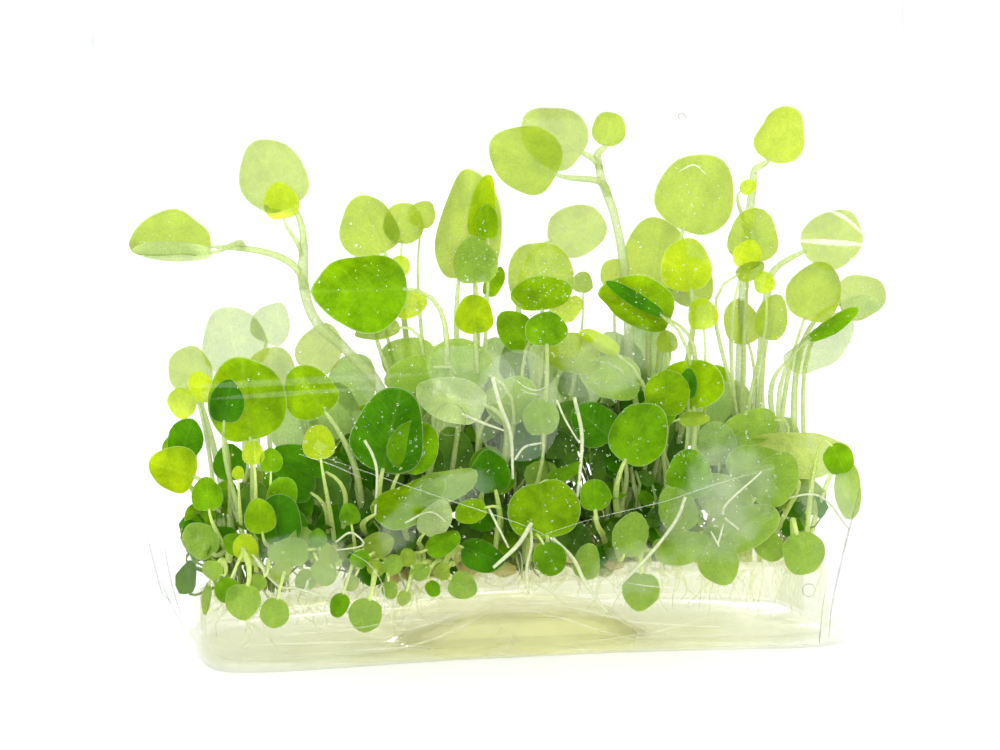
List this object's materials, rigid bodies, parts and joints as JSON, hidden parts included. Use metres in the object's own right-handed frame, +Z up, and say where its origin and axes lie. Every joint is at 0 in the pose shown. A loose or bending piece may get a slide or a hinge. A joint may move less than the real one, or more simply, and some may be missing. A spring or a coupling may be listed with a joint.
{
  "type": "cardinal flower",
  "caption": "Cardinal flower plantlets with round pale to deep green leaves, crowded on a slab of clear nutrient gel in the foot of an open clear film bag.",
  "frame": {"origin": "on the surface that the bag stands on, under the middle of the bag's box", "axes": "+X along the bag's width, +Y from its front to its back, +Z up to its open mouth"},
  "size_m": [0.119, 0.0454, 0.104],
  "materials": {
    "film": "clear glossy polyethylene film",
    "gel": "clear, faintly yellow nutrient gel, moist",
    "growth": "crowded young leaves and stems",
    "stalk": "pale juicy stem",
    "leaf_vivid": "soft thin leaf, bright yellow-green",
    "leaf_pale": "soft thin leaf, pale yellow-green",
    "leaf_deep": "soft leaf, deeper green"
  },
  "bodies": {
    "root": {"bag": "film", "gel": "gel", "crown_1": "growth", "crown_2": "growth", "crown_3": "growth", "crown_4": "growth", "crown_5": "growth", "shoot_1": "stalk", "shoot_2": "stalk", "shoot_3": "stalk", "shoot_4": "stalk", "leaf_01": "leaf_pale", "leaf_02": "leaf_pale", "leaf_03": "leaf_pale", "leaf_04": "leaf_pale", "leaf_05": "leaf_vivid", "leaf_06": "leaf_vivid", "leaf_07": "leaf_vivid", "leaf_08": "leaf_deep", "leaf_09": "leaf_deep", "leaf_10": "leaf_vivid", "leaf_11": "leaf_vivid", "leaf_12": "leaf_deep", "leaf_13": "leaf_deep", "leaf_14": "leaf_pale", "leaf_15": "leaf_vivid", "leaf_16": "leaf_deep", "leaf_17": "leaf_pale", "leaf_18": "leaf_pale", "leaf_19": "leaf_vivid", "leaf_20": "leaf_vivid", "leaf_21": "leaf_deep", "leaf_22": "leaf_vivid", "leaf_23": "leaf_vivid", "leaf_24": "leaf_deep", "leaf_25": "leaf_vivid", "leaf_26": "leaf_vivid", "leaf_27": "leaf_vivid", "leaf_28": "leaf_deep", "leaf_29": "leaf_vivid", "leaf_30": "leaf_vivid", "leaf_31": "leaf_deep", "leaf_32": "leaf_vivid", "leaf_33": "leaf_pale", "leaf_34": "leaf_pale", "leaf_35": "leaf_pale", "leaf_36": "leaf_pale", "leaf_37": "leaf_pale", "leaf_38": "leaf_pale", "leaf_39": "leaf_vivid", "leaf_40": "leaf_pale", "leaf_41": "leaf_pale", "leaf_42": "leaf_pale", "leaf_43": "leaf_deep", "leaf_44": "leaf_vivid", "leaf_45": "leaf_vivid", "leaf_46": "leaf_deep", "leaf_47": "leaf_vivid", "leaf_48": "leaf_vivid"}
  },
  "joints": []
}
